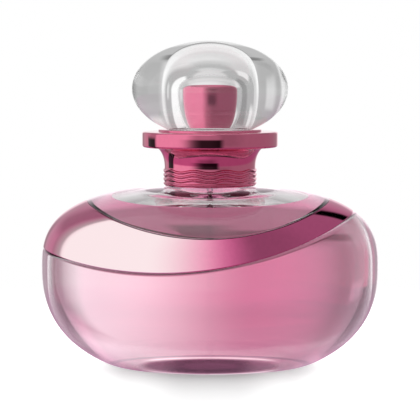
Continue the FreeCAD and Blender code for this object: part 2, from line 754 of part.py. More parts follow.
def cap_liner():
    """White plug ring in the cap's mouth that grips the collar's opening."""
    inner = LINER_R - LINER_WALL
    split_z = CAP_BOTTOM_Z - SEAT_GAP
    return turn(
        polyline(
            [
                (inner, LINER_BOTTOM_Z),
                (LINER_PLUG_R - LINER_LEAD, LINER_BOTTOM_Z),
                (LINER_PLUG_R, LINER_BOTTOM_Z + LINER_LEAD),
                (LINER_PLUG_R, split_z),
                (LINER_R, split_z),
                (LINER_R, LINER_TOP_Z),
                (inner, LINER_TOP_Z),
                (inner, LINER_BOTTOM_Z),
            ]
        )
    )


# ---- export -------------------------------------------------------------------------------
PIECES = [
    glass_bottle,
    fragrance_fill,
    shoulder_band,
    neck_gasket,
    crimp_ferrule,
    pump_housing,
    pump_turret,
    stem_gasket,
    pump_stem,
    pump_piston,
    return_spring,
    preload_spring,
    check_ball,
    dip_tube,
    collar_shell,
    collar_sleeve,
    actuator_shell,
    actuator_core,
    nozzle_insert,
    cap_body,
    cap_liner,
]


def main():
    os.makedirs(OUT, exist_ok=True)
    for make in PIECES:
        shape = make()
        solids = len(shape.Solids)
        print(f"{make.__name__:18s} solids {solids} valid {shape.isValid()} volume {shape.Volume:.1f}")
        shape.exportStep(os.path.join(OUT, make.__name__ + ".step"))


main()
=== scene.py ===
"""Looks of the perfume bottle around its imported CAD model, in metres, +Z up, front towards -Y.

Pieces that are seen through or reflect, where a coarse mesh would show, are built again here as
smooth fine meshes and stand for their CAD nodes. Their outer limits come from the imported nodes'
boxes. Their outlines repeat the CAD's driving dimensions, with rounder edges. The hidden pump
parts stay as CAD nodes and only get their materials. The light isn't a physical room: it differs
with the kind of ray. It, the drawn highlights and the colours were adjusted for the view from
the front, so other views are less sure.
"""
import math

import bpy
import numpy as np
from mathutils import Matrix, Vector


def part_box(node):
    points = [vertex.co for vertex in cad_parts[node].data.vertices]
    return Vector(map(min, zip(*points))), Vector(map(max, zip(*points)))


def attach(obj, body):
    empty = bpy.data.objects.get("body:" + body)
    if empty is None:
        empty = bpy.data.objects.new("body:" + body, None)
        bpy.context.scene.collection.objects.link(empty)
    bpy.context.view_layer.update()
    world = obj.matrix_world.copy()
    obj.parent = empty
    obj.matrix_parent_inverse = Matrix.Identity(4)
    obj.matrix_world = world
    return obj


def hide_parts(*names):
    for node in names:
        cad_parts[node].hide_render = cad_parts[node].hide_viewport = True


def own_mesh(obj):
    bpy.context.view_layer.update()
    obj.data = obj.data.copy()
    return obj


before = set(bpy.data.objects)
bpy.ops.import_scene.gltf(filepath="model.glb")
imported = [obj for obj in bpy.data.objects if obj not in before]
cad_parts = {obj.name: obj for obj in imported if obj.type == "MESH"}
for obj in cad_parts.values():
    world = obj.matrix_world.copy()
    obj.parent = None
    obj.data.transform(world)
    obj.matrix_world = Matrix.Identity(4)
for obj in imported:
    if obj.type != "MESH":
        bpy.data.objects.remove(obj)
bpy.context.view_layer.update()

MM = 0.001
SEGMENTS = 256

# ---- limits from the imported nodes' boxes --------------------------------------------------------
_, glass_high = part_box("glass_bottle")
_, fill_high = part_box("fragrance_fill")
collar_low, collar_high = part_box("collar_shell")
cap_low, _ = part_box("cap_body")
liner_low, liner_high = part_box("cap_liner")

# ---- driving dimensions of the CAD, repeated ----------------------------------------------------
BODY_HALF_WIDTH = 45.0 * MM
BODY_HALF_DEPTH = 30.0 * MM
EQUATOR_Z = 27.0 * MM
LOWER_RISE = 30.2 * MM
LOWER_POWER = 2.4
UPPER_RISE = 21.8 * MM
UPPER_POWER = 2.75
NECK_R = 6.6 * MM
NECK_BORE_R = 4.65 * MM
BEAD_R = 7.5 * MM
BEAD_HEIGHT = 3.4 * MM
PUSH_UP_R = 16.5 * MM
PUSH_UP_DEPTH = 0.9 * MM
HEEL_Z = 1.6 * MM

CAVITY_HALF_WIDTH = 37.6 * MM
CAVITY_HALF_DEPTH = 22.4 * MM
CAVITY_FLOOR_Z = 5.2 * MM
CAVITY_TOP_Z = 43.6 * MM
CAVITY_LOWER_POWER = 3.4
CAVITY_UPPER_POWER = 2.5
THROAT_R = 12.0 * MM
THROAT_TOP_Z = 49.0 * MM

# Arcs of the front view, each as centre x, centre z and radius.
BAND_UPPER_ARC = (-0.75 * MM, 105.0 * MM, 68.2 * MM)
BAND_LOWER_ARC = (-14.6 * MM, 135.1 * MM, 107.1 * MM)
BAND_THICKNESS = 1.2 * MM
RECESS_DEPTH = 1.25 * MM

# ---- edges, gaps and flats of the fine meshes ---------------------------------------------------
RECESS_GAP = 0.03 * MM
LOWER_EDGE_R = 0.8 * MM
UPPER_EDGE_R = 0.15 * MM
BAND_LOWER_EDGE = 0.25 * MM
BAND_UPPER_EDGE = 0.3 * MM
BASE_FLAT = 0.4 * MM

# ---- rows of the fine meshes --------------------------------------------------------------------
OUTLINE_POINTS = 500
CORNER_STEPS = 5
EDGE_STEPS = 5
PUSH_UP_ROWS = 12
HEEL_ROWS = 9
LOWER_ROWS = 90
RECESS_ROWS = 24
UPPER_ROWS = 60
THROAT_ROWS = 24
BAND_FRONT_ROWS = 40
BAND_BACK_ROWS = 14
CAP_ROWS = 96
ROOM_WALL_ROWS = 24
ROOM_DOME_ROWS = 48
SHARP_ANGLE = 40
NODE_SHARP_ANGLE = 35
POLE_R = 1e-7


# ---- mesh helpers -----------------------------------------------------------------------------
def piece(name, vertices, faces, body, replaced, material, sharp_angle=SHARP_ANGLE):
    """Object from vertices and faces that rides on a CAD body and stands for CAD nodes."""
    mesh = bpy.data.meshes.new(name)
    mesh.from_pydata([tuple(v) for v in vertices], [], faces)
    mesh.validate()
    mesh.polygons.foreach_set("use_smooth", [True] * len(mesh.polygons))
    mesh.set_sharp_from_angle(angle=math.radians(sharp_angle))
    mesh.materials.append(material)
    made = bpy.data.objects.new(name, mesh)
    bpy.context.scene.collection.objects.link(made)
    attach(made, body)
    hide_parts(*replaced)
    return made


def ring_grid(rings, closed_rows=False):
    """Vertices and faces from rings of points; a ring with one point is a pole."""
    vertices, starts = [], []
    for ring in rings:
        starts.append(len(vertices))
        vertices.extend(ring)
    faces = []
    count = len(rings)
    for index in range(count if closed_rows else count - 1):
        low, high = rings[index], rings[(index + 1) % count]
        a, b = starts[index], starts[(index + 1) % count]
        sides = max(len(low), len(high))
        for column in range(sides):
            after = (column + 1) % sides
            if len(low) == 1:
                faces.append((a, b + after, b + column))
            elif len(high) == 1:
                faces.append((a + column, a + after, b))
            else:
                faces.append((a + column, a + after, b + after, b + column))
    return vertices, faces


def circle(r, z, ratio=1.0, wave=0.0, waves=0):
    """One ring of points: an oval of half width r and half depth r * ratio, or a pole at r 0."""
    if r < POLE_R:
        return [(0.0, 0.0, z)]
    points = []
    for step in range(SEGMENTS):
        angle = 2 * math.pi * step / SEGMENTS
        lift = wave * math.sin(waves * angle)
        points.append((r * math.cos(angle), r * ratio * math.sin(angle), z + lift))
    return points


def rounded(corners):
    """Outline through (r, z, radius) corners with each corner rounded by an arc of its radius."""
    outline = []
    count = len(corners)
    for index, (r, z, radius) in enumerate(corners):
        here = Vector((r, z))
        if radius == 0 or index in (0, count - 1):
            outline.append((r, z))
            continue
        before = (Vector(corners[index - 1][:2]) - here).normalized()
        after = (Vector(corners[index + 1][:2]) - here).normalized()
        half = before.angle(after) / 2
        reach = radius / math.tan(half)
        centre = here + (before + after).normalized() * (radius / math.sin(half))
        start, end = here + before * reach - centre, here + after * reach - centre
        for step in range(CORNER_STEPS + 1):
            spoke = start.slerp(end, step / CORNER_STEPS)
            outline.append(tuple(centre + spoke.normalized() * radius))
    return outline


def power_curve(half_width, rise, power, start, end, count):
    """(r, height) points of r^p + h^p = 1 between two angles in degrees."""
    points = []
    for step in range(count):
        angle = math.radians(start + (end - start) * step / (count - 1))
        r = half_width * max(math.cos(angle), 0.0) ** (2 / power)
        points.append((r, rise * max(math.sin(angle), 0.0) ** (2 / power)))
    return points


# ---- glass body, band and liquid --------------------------------------------------------------
def body_outline(inset):
    """Dense (r, z) outline of the body, its axes shorter by inset, from the heel to the neck."""
    half_width = BODY_HALF_WIDTH - inset
    lower_rise, upper_rise = LOWER_RISE - inset, UPPER_RISE - inset
    heel = math.degrees(math.asin(((EQUATOR_Z - HEEL_Z) / lower_rise) ** (LOWER_POWER / 2)))
    top = math.degrees(math.acos((NECK_R / half_width) ** (UPPER_POWER / 2)))
    lower = power_curve(half_width, lower_rise, LOWER_POWER, heel, 0, OUTLINE_POINTS)
    upper = power_curve(half_width, upper_rise, UPPER_POWER, 0, top, OUTLINE_POINTS)
    outline = [(r, EQUATOR_Z - h) for r, h in lower] + [(r, EQUATOR_Z + h) for r, h in upper[1:]]
    return np.array(outline)


def outline_lengths(outline):
    """Distance along an outline at each of its points."""
    steps = np.hypot(*np.diff(outline, axis=0).T)
    return np.concatenate([[0], np.cumsum(steps)])


class Shell:
    """The body's surface at one inset, which finds where a front-view arc crosses it."""

    def __init__(self, inset):
        self.outline = body_outline(inset)
        self.ratio = (BODY_HALF_DEPTH - inset) / (BODY_HALF_WIDTH - inset)
        self.lengths = outline_lengths(self.outline)

    def crossing(self, angle, arc_circle, offset):
        """Length along the outline at which the arc, its radius grown by offset, is met."""
        centre_x, centre_z, radius = arc_circle
        x = self.outline[:, 0] * math.cos(angle)
        arc_z = centre_z - np.sqrt((radius + offset) ** 2 - (x - centre_x) ** 2)
        above = self.outline[:, 1] - arc_z
        index = int(np.argmax(above > 0))
        share = above[index - 1] / (above[index - 1] - above[index])
        return self.lengths[index - 1] + share * (self.lengths[index] - self.lengths[index - 1])

    def point(self, angle, length):
        """Point of the surface at an angle round it and a length along its outline."""
        r = np.interp(length, self.lengths, self.outline[:, 0])
        z = np.interp(length, self.lengths, self.outline[:, 1])
        return (r * math.cos(angle), r * self.ratio * math.sin(angle), z)


def column_angles():
    """Angles of the mesh columns round the bottle."""
    return [2 * math.pi * step / SEGMENTS for step in range(SEGMENTS)]


def edge_ring(inset, arc_circle, offset):
    """Ring where an arc, its radius grown by offset, crosses the surface at an inset."""
    shell = shell_at(inset)
    return [shell.point(a, shell.crossing(a, arc_circle, offset)) for a in column_angles()]


SHELLS = {}


def shell_at(inset):
    """The Shell for an inset, made once."""
    key = round(inset / MM, 4)
    if key not in SHELLS:
        SHELLS[key] = Shell(inset)
    return SHELLS[key]


def rings_between(inset, start, end, count):
    """Rings on one surface from start to end; each is an (arc, offset) pair or None for a limit."""
    shell = shell_at(inset)
    rings = []
    starts = [0.0 if start is None else shell.crossing(a, *start) for a in column_angles()]
    ends = [shell.lengths[-1] if end is None else shell.crossing(a, *end) for a in column_angles()]
    for step in range(count):
        share = step / (count - 1)
        rings.append(
            [shell.point(a, s + (e - s) * share) for a, s, e in zip(column_angles(), starts, ends)]
        )
    return rings


def corner_rings(arc_circle, side, radius):
    """Rings of the recess's rounded edge, from near the outer surface down to its radius."""
    rings = []
    for step in range(1, EDGE_STEPS + 1):
        turned = math.pi / 2 * step / EDGE_STEPS
        inset = radius * (1 - math.cos(turned))
        offset = side * radius * (1 - math.sin(turned))
        rings.append(edge_ring(inset, arc_circle, offset + side * RECESS_GAP))
    return rings


def glass_rings():
    """Outside of the glass from the middle of its push-up to the foot of the neck."""
    ratio = BODY_HALF_DEPTH / BODY_HALF_WIDTH
    rings = [circle(0, PUSH_UP_DEPTH)]
    for step in range(1, PUSH_UP_ROWS + 1):
        share = step / PUSH_UP_ROWS
        rings.append(circle(PUSH_UP_R * share, PUSH_UP_DEPTH * (1 - share**2), ratio))
    rings.append(circle(PUSH_UP_R + BASE_FLAT, 0, ratio))
    heel_r, heel_z = shell_at(0).outline[0]
    height = (EQUATOR_Z - heel_z) / LOWER_RISE
    across = (1 - height**LOWER_POWER) ** (1 / LOWER_POWER)
    steep = (height / across) ** (LOWER_POWER - 1)
    slope = math.atan(LOWER_RISE / BODY_HALF_WIDTH / steep)
    radius = heel_z / (1 - math.cos(slope))
    base_r = heel_r - radius * math.sin(slope)
    for step in range(HEEL_ROWS):
        turned = slope * step / HEEL_ROWS
        rings.append(circle(base_r + radius * math.sin(turned), radius * (1 - math.cos(turned)), ratio))
    low, high = BAND_LOWER_ARC, BAND_UPPER_ARC
    rings += rings_between(0, None, (low, LOWER_EDGE_R + RECESS_GAP), LOWER_ROWS)
    rings += corner_rings(low, 1, LOWER_EDGE_R)
    rings += [edge_ring(RECESS_DEPTH, low, RECESS_GAP)]
    rings += rings_between(RECESS_DEPTH, (low, RECESS_GAP), (high, -RECESS_GAP), RECESS_ROWS)[1:]
    rings += corner_rings(high, -1, UPPER_EDGE_R)[::-1]
    rings += rings_between(0, (high, -UPPER_EDGE_R - RECESS_GAP), None, UPPER_ROWS)
    return rings


def neck_rings():
    """Rings of the neck's outside, the bead and the neck's top, down into the bore."""
    top = glass_high.z
    bead = top - BEAD_HEIGHT
    shoulder = shell_at(0).outline[-1][1]
    outline = rounded(
        [
            (NECK_R, shoulder + 0.6 * MM, 0),
            (NECK_R, bead, 0.3 * MM),
            (BEAD_R, bead + 0.4 * MM, 0.4 * MM),
            (BEAD_R, top, 0.5 * MM),
            (NECK_BORE_R, top, 0.3 * MM),
            (NECK_BORE_R, top - 1.5 * MM, 0),
        ]
    )
    return [circle(r, z) for r, z in outline]


# Share of the cavity's half width from which its roof has its full oval plan.
OVAL_FROM = 0.55


def cavity_outline(grow):
    """(r, z, ratio) of the cavity's surface from the neck's bore down to the floor's middle."""
    half_width = CAVITY_HALF_WIDTH + grow
    lower_rise = EQUATOR_Z - CAVITY_FLOOR_Z + grow
    upper_rise = CAVITY_TOP_Z - EQUATOR_Z + grow
    oval = (CAVITY_HALF_DEPTH + grow) / half_width
    start = math.degrees(math.acos((THROAT_R / half_width) ** (CAVITY_UPPER_POWER / 2)))
    upper = power_curve(half_width, upper_rise, CAVITY_UPPER_POWER, start, 0, 60)
    lower = power_curve(half_width, lower_rise, CAVITY_LOWER_POWER, 0, 89.9, 70)
    points = []
    throat_z = EQUATOR_Z + upper[0][1]
    bore = NECK_BORE_R + grow
    for step in range(THROAT_ROWS):
        turned = math.pi / 2 * step / THROAT_ROWS
        r = bore + (THROAT_R - bore) * (1 - math.cos(turned))
        z = THROAT_TOP_Z - (THROAT_TOP_Z - throat_z) * math.sin(turned)
        points.append((r, z, 1.0))
    for r, height in upper:
        share = min(max((r - THROAT_R) / (half_width * OVAL_FROM - THROAT_R), 0.0), 1.0)
        share = share * share * (3 - 2 * share)
        points.append((r, EQUATOR_Z + height, 1 + (oval - 1) * share))
    for r, height in lower[1:]:
        points.append((r, EQUATOR_Z - height, oval))
    points.append((0.0, EQUATOR_Z - lower_rise, oval))
    return points


def make_glass(material):
    """Glass bottle: one closed surface, outside then neck then cavity."""
    rings = glass_rings() + neck_rings()
    rings += [circle(r, z, ratio) for r, z, ratio in cavity_outline(0.0)]
    vertices, faces = ring_grid(rings)
    return piece("bottle_glass", vertices, faces, "bottle", ["glass_bottle"], material)


LIQUID_OVERLAP = 0.06 * MM
MENISCUS_SHARES = (0.2, 0.4, 0.6, 0.75, 0.85, 0.91, 0.95, 0.975, 0.99)
MENISCUS_RISE = 0.9 * MM
MENISCUS_LENGTH = 1.3 * MM


def make_liquid(material):
    """Perfume up to its fill level, its skin just past the cavity's wall, with a raised rim."""
    level = fill_high.z
    skin = [p for p in cavity_outline(LIQUID_OVERLAP) if p[1] < level + MENISCUS_RISE]
    rim_r, _, rim_ratio = skin[0]
    rings = [circle(0, level)]
    for share in MENISCUS_SHARES:
        r = rim_r * share
        rise = MENISCUS_RISE * math.exp(-(rim_r - r) / MENISCUS_LENGTH)
        rings.append(circle(r, level + rise, rim_ratio))
    rings += [circle(r, z, ratio) for r, z, ratio in skin]
    vertices, faces = ring_grid([ring[::-1] for ring in rings])
    return piece("perfume", vertices, faces, "bottle", ["fragrance_fill"], material)


def make_band(material):
    """Saddle-shaped metal band with rolled edges, flush with the glass."""
    low, high = BAND_LOWER_ARC, BAND_UPPER_ARC
    rings = [edge_ring(BAND_THICKNESS, low, 0)]
    for step in range(6):
        turned = math.pi / 2 * step / 5
        inset = BAND_LOWER_EDGE * (1 - math.sin(turned))
        rings.append(edge_ring(inset, low, -BAND_LOWER_EDGE * (1 - math.cos(turned))))
    rings += rings_between(0, (low, -BAND_LOWER_EDGE), (high, BAND_UPPER_EDGE), BAND_FRONT_ROWS)[1:-1]
    for step in range(7):
        turned = math.pi / 2 * step / 6
        inset = BAND_UPPER_EDGE * (1 - math.cos(turned))
        rings.append(edge_ring(inset, high, BAND_UPPER_EDGE * (1 - math.sin(turned))))
    rings += [edge_ring(BAND_THICKNESS, high, 0)]
    rings += rings_between(BAND_THICKNESS, (high, 0), (low, 0), BAND_BACK_ROWS)[1:-1]
    vertices, faces = ring_grid(rings, closed_rows=True)
    return piece("metal_band", vertices, faces, "bottle", ["shoulder_band"], material)


# ---- collar -----------------------------------------------------------------------------------
def make_collar(material):
    """Collar: wavy ridges round the barrel, flare, thick flange and the cap's seat ring."""
    bottom, top = collar_low.z, collar_high.z
    barrel_r = 12.15 * MM
    opening_r = 10.9 * MM
    flare_z, flare_r = 53.6 * MM, 15.0 * MM
    flange_r, flange_low, flange_top = collar_high.x, 59.0 * MM, 63.1 * MM
    seat_r = 13.8 * MM
    ridge_z, pitch, half_height, proud = 49.4 * MM, 1.15 * MM, 0.4 * MM, 0.3 * MM
    wave, waves = 0.28 * MM, 9
    rings = [circle(barrel_r - 0.25 * MM, bottom)]
    rings.append(circle(barrel_r, bottom + 0.12 * MM))
    for index in range(4):
        middle = ridge_z + pitch * index
        swing = wave * (1 if index else 0.35)
        for step in range(9):
            share = -1 + step / 4
            r = barrel_r + proud * (0.5 + 0.5 * math.cos(math.pi * share))
            rings.append(circle(r, middle + half_height * share * 1.2, wave=swing, waves=waves))
    rings.append(circle(barrel_r, ridge_z + pitch * 3 + half_height + 0.45 * MM))
    for step in range(1, 21):
        share = step / 20
        r = barrel_r + (flare_r - barrel_r) * (1 - math.sqrt(max(1 - share**2, 0)))
        rings.append(circle(r, flare_z + (flange_low - flare_z) * share))
    outline = rounded(
        [
            (flare_r, flange_low, 0),
            (flange_r, flange_low, 0.55 * MM),
            (flange_r, flange_top, 0.55 * MM),
            (seat_r, flange_top, 0.15 * MM),
            (seat_r, top, 0.25 * MM),
            (opening_r, top, 0.25 * MM),
            (opening_r, bottom, 0.15 * MM),
            (barrel_r - 0.25 * MM, bottom, 0),
        ]
    )
    rings += [circle(r, z) for r, z in outline[:-1]]
    vertices, faces = ring_grid(rings, closed_rows=True)
    return piece("metal_collar", vertices, faces, "bottle", ["collar_shell"], material, 50)


# ---- cap and button ---------------------------------------------------------------------------
def make_cap(material):
    """Clear cap: ellipsoid outside, a mouth for the liner and a narrower domed room inside."""
    half_width = 20.8 * MM
    half_height = 12.9 * MM
    centre_z = 74.5 * MM
    bottom = cap_low.z
    mouth_r, mouth_z = 10.7 * MM, 65.6 * MM
    room_r, wall_z, top_z = 8.7 * MM, 74.2 * MM, 78.3 * MM
    foot = math.asin((bottom - centre_z) / half_height)
    rings = [circle(0, centre_z + half_height)]
    for step in range(1, CAP_ROWS + 1):
        angle = math.pi / 2 + (foot - math.pi / 2) * step / CAP_ROWS
        rings.append(circle(half_width * math.cos(angle), centre_z + half_height * math.sin(angle)))
    foot_r = half_width * math.cos(foot)
    edge = 0.1 * MM
    rings += [circle(foot_r - edge, bottom), circle(mouth_r + edge, bottom)]
    rings += [circle(mouth_r, bottom + edge), circle(mouth_r, mouth_z)]
    for step in range(ROOM_WALL_ROWS + 1):
        rings.append(circle(room_r, mouth_z + (wall_z - mouth_z) * step / ROOM_WALL_ROWS))
    for step in range(1, ROOM_DOME_ROWS + 1):
        turned = math.pi / 2 * step / ROOM_DOME_ROWS
        rings.append(circle(room_r * math.cos(turned), wall_z + (top_z - wall_z) * math.sin(turned)))
    vertices, faces = ring_grid([ring[::-1] for ring in rings])
    return piece("clear_cap", vertices, faces, "cap", ["cap_body"], material, 60)


def make_liner(material):
    """White plug ring of the cap."""
    r, plug_r, inner = 10.65 * MM, liner_high.x, 9.55 * MM
    split = cap_low.z - 0.05 * MM
    outline = rounded(
        [
            (inner, liner_low.z + 0.8 * MM, 0),
            (inner, liner_low.z, 0.2 * MM),
            (plug_r, liner_low.z, 0.4 * MM),
            (plug_r, split, 0.05 * MM),
            (r, split, 0.04 * MM),
            (r, liner_high.z, 0.2 * MM),
            (inner, liner_high.z, 0.2 * MM),
            (inner, liner_low.z + 0.8 * MM, 0),
        ]
    )
    vertices, faces = ring_grid([circle(a, z) for a, z in outline[:-1]], closed_rows=True)
    return piece("cap_plug", vertices, faces, "cap", ["cap_liner"], material)


# ---- springs ----------------------------------------------------------------------------------
def make_spring(name, node, wire_r, turns, body, joint, travel, fixed_end, material):
    """Coil of round wire that fills its node's box and rides on its body. Joint, travel and fixed_end are
    not used.
    """
    low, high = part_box(node)
    coil_r = high.x - wire_r
    start, rise = low.z + wire_r, high.z - low.z - 2 * wire_r
    slope = rise / (2 * math.pi * turns * coil_r)
    steps, sides = int(turns * 32), 12
    rings = []
    for step in range(steps + 1):
        turned = 2 * math.pi * turns * step / steps
        out = Vector((math.cos(turned), math.sin(turned), 0.0))
        along = Vector((-math.sin(turned), math.cos(turned), slope)).normalized()
        across = along.cross(out)
        centre = out * coil_r + Vector((0.0, 0.0, start + rise * step / steps))
        ring = []
        for side in range(sides):
            angle = 2 * math.pi * side / sides
            ring.append(centre + (out * math.cos(angle) + across * math.sin(angle)) * wire_r)
        rings.append(ring)
    tips = [sum(ring, Vector()) / sides for ring in (rings[0], rings[-1])]
    vertices, faces = ring_grid([[tips[0]], *rings, [tips[1]]])
    made = piece(name, vertices, faces, body, [node], material, 60)
    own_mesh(made)
    return made


# ---- materials --------------------------------------------------------------------------------
class Nodes:
    """Short way to write a node tree: add(kind, input=value) makes and wires a node."""

    def __init__(self, tree):
        self.tree = tree
        tree.nodes.clear()

    def add(self, kind, settings=None, **inputs):
        node = self.tree.nodes.new(kind)
        for name, value in (settings or {}).items():
            setattr(node, name, value)
        for name, value in inputs.items():
            socket = self.socket(node, name)
            if isinstance(value, bpy.types.NodeSocket):
                self.tree.links.new(value, socket)
            else:
                socket.default_value = value
        return node

    @staticmethod
    def socket(node, name):
        if name.startswith("in_"):
            return node.inputs[int(name[3:])]
        return node.inputs[name.replace("_", " ")]

    def math(self, operation, a, b=0.0, c=0.0):
        """Value of one maths step on numbers or sockets."""
        return self.add("ShaderNodeMath", {"operation": operation}, in_0=a, in_1=b, in_2=c).outputs[0]

    def mix(self, share, a, b):
        """Number between a and b."""
        return self.math("ADD", self.math("MULTIPLY", share, self.math("SUBTRACT", b, a)), a)

    def blend(self, share, a, b):
        """Colour between a and b."""
        a = (*a, 1.0) if isinstance(a, tuple) else a
        b = (*b, 1.0) if isinstance(b, tuple) else b
        return self.add("ShaderNodeMix", {"data_type": "RGBA"}, in_0=share, in_6=a, in_7=b).outputs[2]

    def ramp(self, value, low, high):
        """Colour that eases from low to high as a value goes from 0.3 to 0.7."""
        node = self.add("ShaderNodeValToRGB", in_0=value)
        node.color_ramp.interpolation = "EASE"
        for element, place, colour in zip(node.color_ramp.elements, (0.3, 0.7), (low, high)):
            element.position = place
            element.color = (*colour, 1.0)
        return node.outputs[0]

    def noise(self, scale, detail=3.0, stretch=None):
        """Noise value in the piece's own coordinates, in metres, optionally stretched."""
        place = self.add("ShaderNodeTexCoord").outputs["Object"]
        if stretch is not None:
            place = self.add("ShaderNodeMapping", Vector=place, Scale=stretch).outputs[0]
        return self.add("ShaderNodeTexNoise", Vector=place, Scale=scale, Detail=detail).outputs[0]

    def bump(self, height, strength, distance):
        """Normal from a height."""
        node = self.add("ShaderNodeBump", Height=height, Strength=strength, Distance=distance)
        return node.outputs[0]

    def smooth(self, value, low, high):
        """0 below low, 1 above high, easing between."""
        return self.add(
            "ShaderNodeMapRange", {"interpolation_type": "SMOOTHSTEP"},
            Value=value, From_Min=low, From_Max=high,
        ).outputs[0]

    def angles(self, direction):
        """Azimuth from the camera and elevation of a direction, in degrees."""
        x, y, z = self.add("ShaderNodeSeparateXYZ", Vector=direction).outputs
        azimuth = self.math("ARCTAN2", x, self.math("MULTIPLY", y, -1.0))
        flat = self.math("SQRT", self.math("SUBTRACT", 1.0, self.math("MULTIPLY", z, z)))
        elevation = self.math("ARCTAN2", z, flat)
        return self.math("DEGREES", azimuth), self.math("DEGREES", elevation)

    def range(self, value, low, high):
        """A 0 to 1 value moved to low to high."""
        return self.math("ADD", self.math("MULTIPLY", value, high - low), low)


def new_material(name):
    """Empty node material and its tree helper."""
    material = bpy.data.materials.new(name)
    material.use_nodes = True
    return material, Nodes(material.node_tree)


# Painted highlights on the glass, drawn in place of lamps. Each pair is the two ends of one
# fade, in or out.
LEFT_SIDEWAYS = (-0.77, 0.37)
LEFT_AZIMUTH, LEFT_STEEP = (-108, -78), (-30, -60)
LEFT_TOP, LEFT_BOTTOM = (0, 25), (-89, -78)
LEFT_GLOW, TOP_GLOW, STREAK_GLOW = 0.44, 0.015, 0.45
TOP_HEIGHT = (40, 60)
RIM_FACING, RIM_HEIGHT = (0.25, 0.75), (35, 8)
PAINTED_HIGHLIGHT_WHITE, PAINTED_RIM_ROSE = (1.0, 0.99, 1.0, 1.0), (0.3, 0.2, 0.25, 1.0)
# The base ring of painted shade as drawn: height of its middle, its half height and half
# width, and how much a point's distance from the middle plane lowers it in the view from six
# degrees above.
RING_Z, RING_HALF_HEIGHT, RING_HALF_WIDTH = 0.9 * MM, 2.4 * MM, 21.3 * MM
RING_TILT = 0.105


def painted_outer_highlights(nodes):
    """Highlights drawn on the outside of the glass for the camera only, in place of lamps: a large
    soft one at the left, a faint one on top, a rosy rim and a white streak over the base ring."""
    mirrored = nodes.add("ShaderNodeTexCoord").outputs["Reflection"]
    azimuth, elevation = nodes.angles(mirrored)
    aside = nodes.add("ShaderNodeSeparateXYZ", Vector=mirrored).outputs["X"]
    left = nodes.math("SUBTRACT", 1.0, nodes.smooth(aside, *LEFT_SIDEWAYS))
    near = nodes.math("MAXIMUM", nodes.smooth(azimuth, *LEFT_AZIMUTH), nodes.smooth(elevation, *LEFT_STEEP))
    left = nodes.math("MULTIPLY", left, near)
    left = nodes.math("MULTIPLY", left, nodes.math("SUBTRACT", 1.0, nodes.smooth(elevation, *LEFT_TOP)))
    left = nodes.math("MULTIPLY", left, nodes.smooth(elevation, *LEFT_BOTTOM))
    top = nodes.smooth(elevation, *TOP_HEIGHT)
    turned = nodes.add("ShaderNodeLayerWeight", Blend=0.5).outputs["Facing"]
    rim = nodes.math("MULTIPLY", nodes.smooth(turned, *RIM_FACING), nodes.smooth(elevation, *RIM_HEIGHT))
    outside = nodes.math("SUBTRACT", 1.0, nodes.add("ShaderNodeNewGeometry").outputs["Backfacing"])
    seen = nodes.add("ShaderNodeLightPath").outputs["Is Camera Ray"]
    outside = nodes.math("MULTIPLY", outside, seen)
    away, from_middle = painted_base_ring(nodes)
    left = nodes.math("MULTIPLY", left, nodes.smooth(away, 0.75, 0.95))
    beside_base = nodes.smooth(from_middle, 16 * MM, 28 * MM)
    off_base = nodes.math("MAXIMUM", beside_base, nodes.smooth(away, 1.5, 2.2))
    rim = nodes.math("MULTIPLY", rim, off_base)
    streak = nodes.math("SUBTRACT", nodes.smooth(away, 0.88, 0.98), nodes.smooth(away, 0.98, 1.1))
    streak = nodes.math("MULTIPLY", streak, nodes.smooth(from_middle, 19 * MM, 13 * MM))
    left, top = nodes.math("MULTIPLY", left, LEFT_GLOW), nodes.math("MULTIPLY", top, TOP_GLOW)
    white = nodes.math("ADD", nodes.math("ADD", left, top), nodes.math("MULTIPLY", streak, STREAK_GLOW))
    lit = []
    for colour, share in ((PAINTED_HIGHLIGHT_WHITE, white), (PAINTED_RIM_ROSE, rim)):
        strength = nodes.math("MULTIPLY", share, outside)
        lit.append(nodes.add("ShaderNodeEmission", Color=colour, Strength=strength).outputs[0])
    return nodes.add("ShaderNodeAddShader", in_0=lit[0], in_1=lit[1]).outputs[0]


def painted_base_ring(nodes):
    """How far out a point is from the middle of the base ring of painted shade as seen from the
    front or the back, 1 on the ring, and how far it is to the side, in metres."""
    place = nodes.add("ShaderNodeTexCoord").outputs["Object"]
    x, y, z = nodes.add("ShaderNodeSeparateXYZ", Vector=place).outputs
    tilt = nodes.math("MULTIPLY", nodes.math("ABSOLUTE", y), RING_TILT)
    height = nodes.math("SUBTRACT", z, tilt)
    up = nodes.math("DIVIDE", nodes.math("SUBTRACT", height, RING_Z), RING_HALF_HEIGHT)
    across = nodes.math("DIVIDE", x, RING_HALF_WIDTH)
    squares = nodes.math("ADD", nodes.math("POWER", up, 2.0), nodes.math("POWER", across, 2.0))
    return nodes.math("SQRT", squares), nodes.math("ABSOLUTE", x)


def base_shade(nodes):
    """Painted shade on the glass where the push-up's edge would show dark through the thick
    base, with a thin darker painted ring round it.
    """
    away, aside = painted_base_ring(nodes)
    # Painted shade: darkest in the ring's middle, lighter to the sides, white outside the ring.
    inner = nodes.blend(nodes.smooth(aside, 6 * MM, 14 * MM), (0.3, 0.26, 0.31), (0.6, 0.58, 0.62))
    inner = nodes.blend(nodes.smooth(away, 0.5, 0.25), inner, (0.4, 0.33, 0.4))
    colour = nodes.blend(nodes.smooth(away, 0.7, 0.92), inner, (1.0, 1.0, 1.0))
    # A thin ring of painted shade just outside the base ring.
    line = nodes.math("SUBTRACT", nodes.smooth(away, 1.1, 1.2), nodes.smooth(away, 1.2, 1.32))
    return nodes.blend(line, colour, (0.68, 0.72, 0.75))


